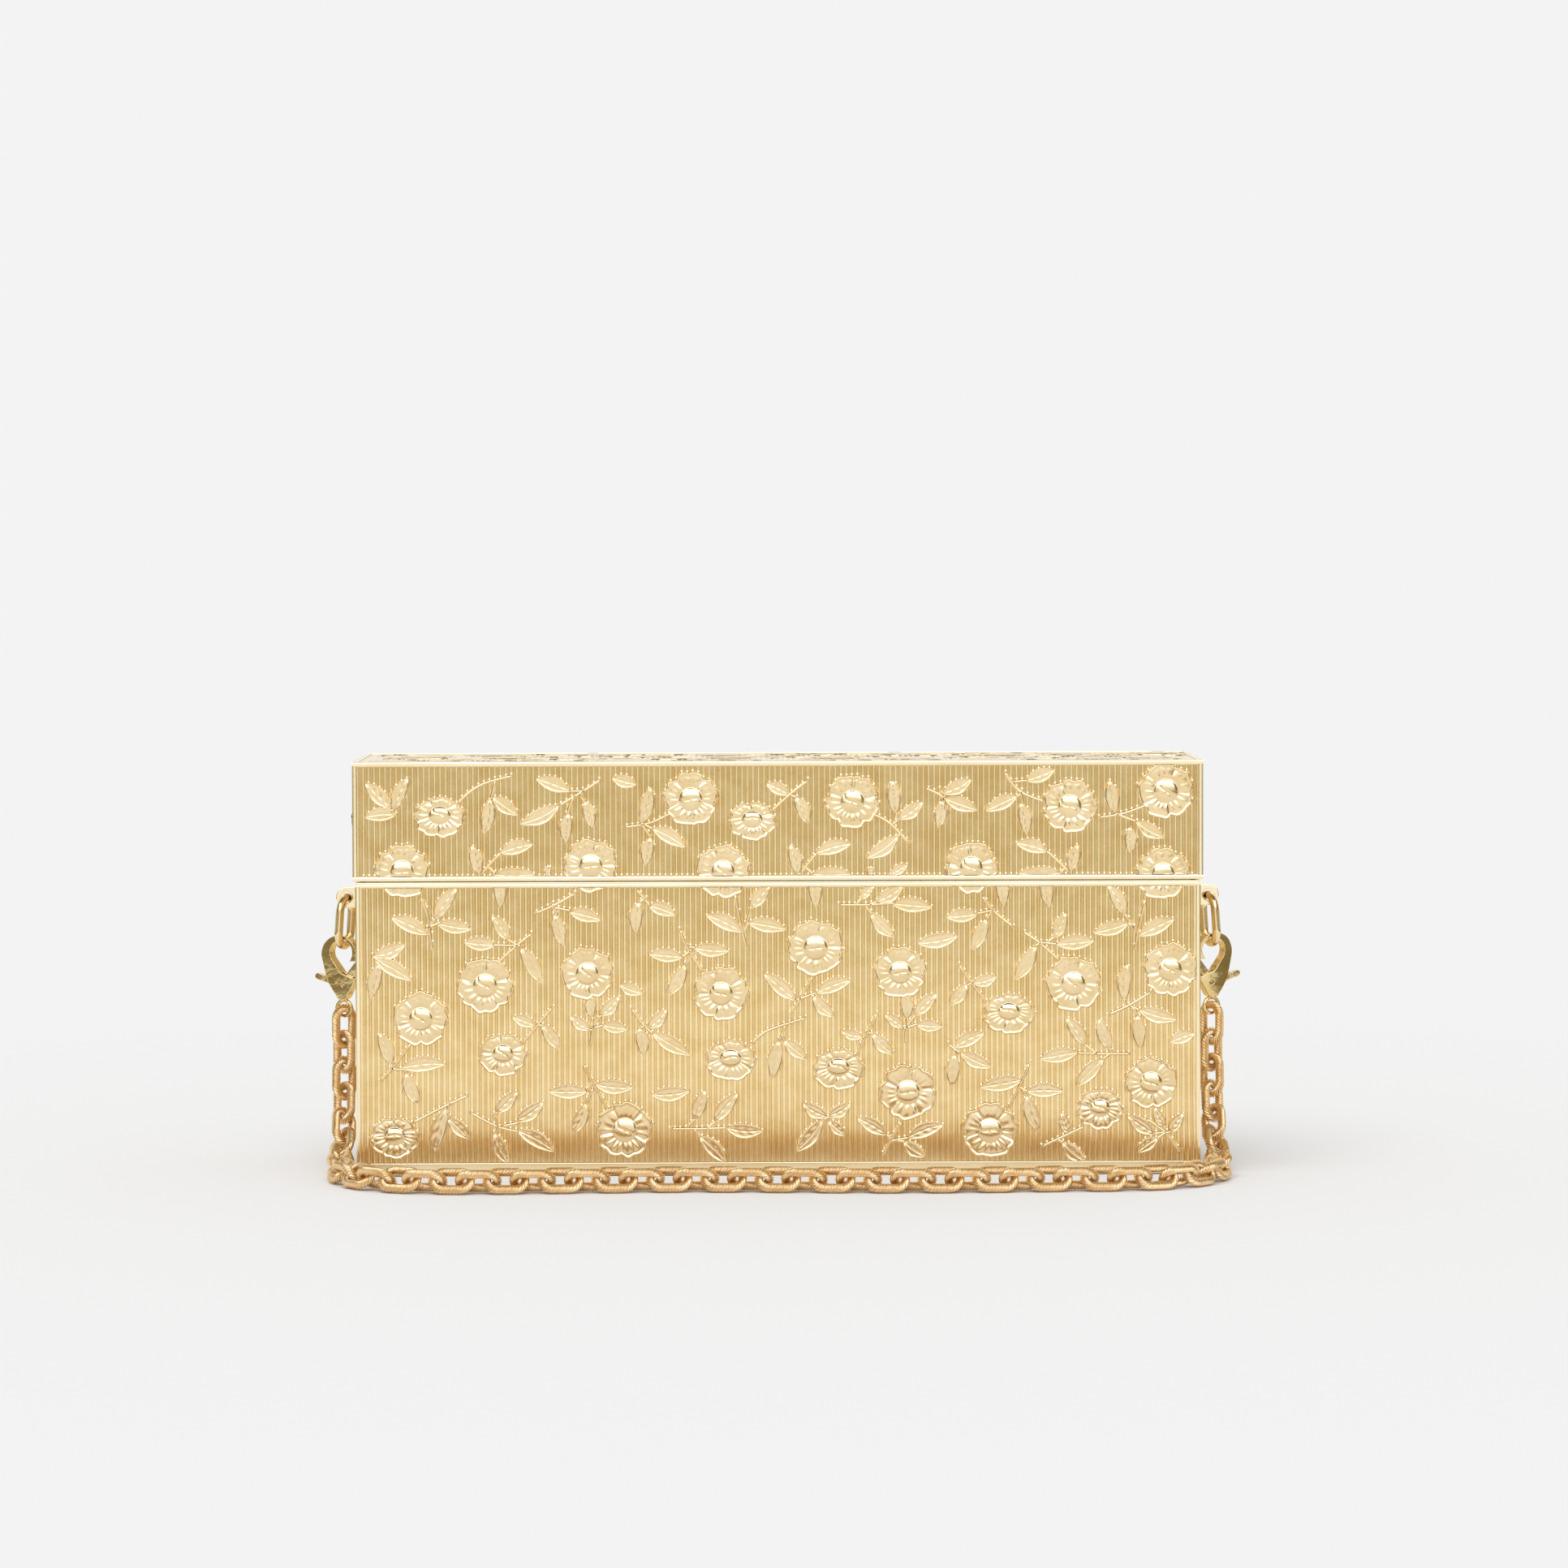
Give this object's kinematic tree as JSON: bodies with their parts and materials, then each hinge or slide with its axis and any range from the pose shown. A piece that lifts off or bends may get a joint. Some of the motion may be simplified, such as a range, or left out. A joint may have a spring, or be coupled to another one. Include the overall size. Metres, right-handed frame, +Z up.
{
  "type": "box clutch bag",
  "caption": "Slim metal box clutch with a ribbed floral relief, a hinged lid, lined inside, and a link chain strap clipped to rings at its ends by two lobster clasps.",
  "frame": {"origin": "middle of the flat base, on the surface that the bag stands on, below the middle of its depth with the hinge counted", "axes": "+X to the right seen from the front, +Y to the hinge side at the back, +Z up"},
  "size_m": [0.2112, 0.0821, 0.0931],
  "materials": {
    "frame_gold": "polished, pale gold plated",
    "relief_gold": "embossed with fine upright ribs and flowers, bright gold plated",
    "ring_gold": "polished gold plated wire",
    "clasp_gold": "polished cast brass, cool gold plated",
    "chain_gold": "satin rope-twist wire, warm gold plated",
    "nickel_steel": "nickel plated",
    "suede": "short napped lining cloth"
  },
  "bodies": {
    "base": {"base_shell": "frame_gold", "base_front_panel": "relief_gold", "base_rear_panel": "relief_gold", "base_left_panel": "relief_gold", "base_right_panel": "relief_gold", "closing_lip": "frame_gold", "base_magnets": "nickel_steel", "base_lining": "suede", "hinge_base_leaf": "frame_gold", "hinge_pin": "nickel_steel", "left_lug": "frame_gold", "right_lug": "frame_gold", "chain_left_drop": "chain_gold", "chain_floor_run": "chain_gold", "chain_right_drop": "chain_gold"},
    "lid": {"lid_shell": "frame_gold", "lid_front_panel": "relief_gold", "lid_rear_panel": "relief_gold", "lid_left_panel": "relief_gold", "lid_right_panel": "relief_gold", "lid_top_panel": "relief_gold", "lid_lining": "suede", "lid_strikers": "nickel_steel", "hinge_lid_leaf": "frame_gold"},
    "left_ring": {"left_ring": "ring_gold"},
    "right_ring": {"right_ring": "ring_gold"},
    "left_clasp": {"left_clasp_body": "clasp_gold", "left_clasp_pin": "clasp_gold", "left_clasp_spring": "nickel_steel"},
    "right_clasp": {"right_clasp_body": "clasp_gold", "right_clasp_pin": "clasp_gold", "right_clasp_spring": "nickel_steel"},
    "left_gate": {"left_clasp_gate": "clasp_gold"},
    "right_gate": {"right_clasp_gate": "clasp_gold"}
  },
  "joints": [
    {"name": "lid_hinge", "type": "hinge", "parent": "base", "child": "lid", "pos_m": [0, 0.0227, 0.066], "axis": [-1, 0, 0], "range_deg": [0, 105]},
    {"name": "left_ring_swing", "type": "hinge", "parent": "base", "child": "left_ring", "pos_m": [-0.0981, -0.00095, 0.0612], "axis": [0, 1, 0], "range_deg": [0, 6]},
    {"name": "right_ring_swing", "type": "hinge", "parent": "base", "child": "right_ring", "pos_m": [0.0981, -0.00095, 0.0612], "axis": [0, -1, 0], "range_deg": [0, 6]},
    {"name": "left_clasp_swing", "type": "hinge", "parent": "left_ring", "child": "left_clasp", "pos_m": [-0.09887, -0.00095, 0.05013], "axis": [0, 1, 0], "range_deg": [-11, 0]},
    {"name": "right_clasp_swing", "type": "hinge", "parent": "right_ring", "child": "right_clasp", "pos_m": [0.09887, -0.00095, 0.05013], "axis": [0, -1, 0], "range_deg": [-11, 0]},
    {"name": "left_gate_press", "type": "hinge", "parent": "left_clasp", "child": "left_gate", "pos_m": [-0.09839, -0.00113, 0.04134], "axis": [-0.342, -0.9397, 0], "range_deg": [0, 28], "stiffness_Nm_per_rad": 0.002, "springref_deg": -8.59, "deforming": ["left_clasp_spring"]},
    {"name": "right_gate_press", "type": "hinge", "parent": "right_clasp", "child": "right_gate", "pos_m": [0.09839, -0.00113, 0.04134], "axis": [-0.342, 0.9397, 0], "range_deg": [0, 28], "stiffness_Nm_per_rad": 0.002, "springref_deg": -8.59, "deforming": ["right_clasp_spring"]}
  ],
  "couplings": [
    {"joint": "left_clasp_swing", "follows": "left_ring_swing", "ratio": -1.775},
    {"joint": "right_clasp_swing", "follows": "right_ring_swing", "ratio": -1.775}
  ]
}
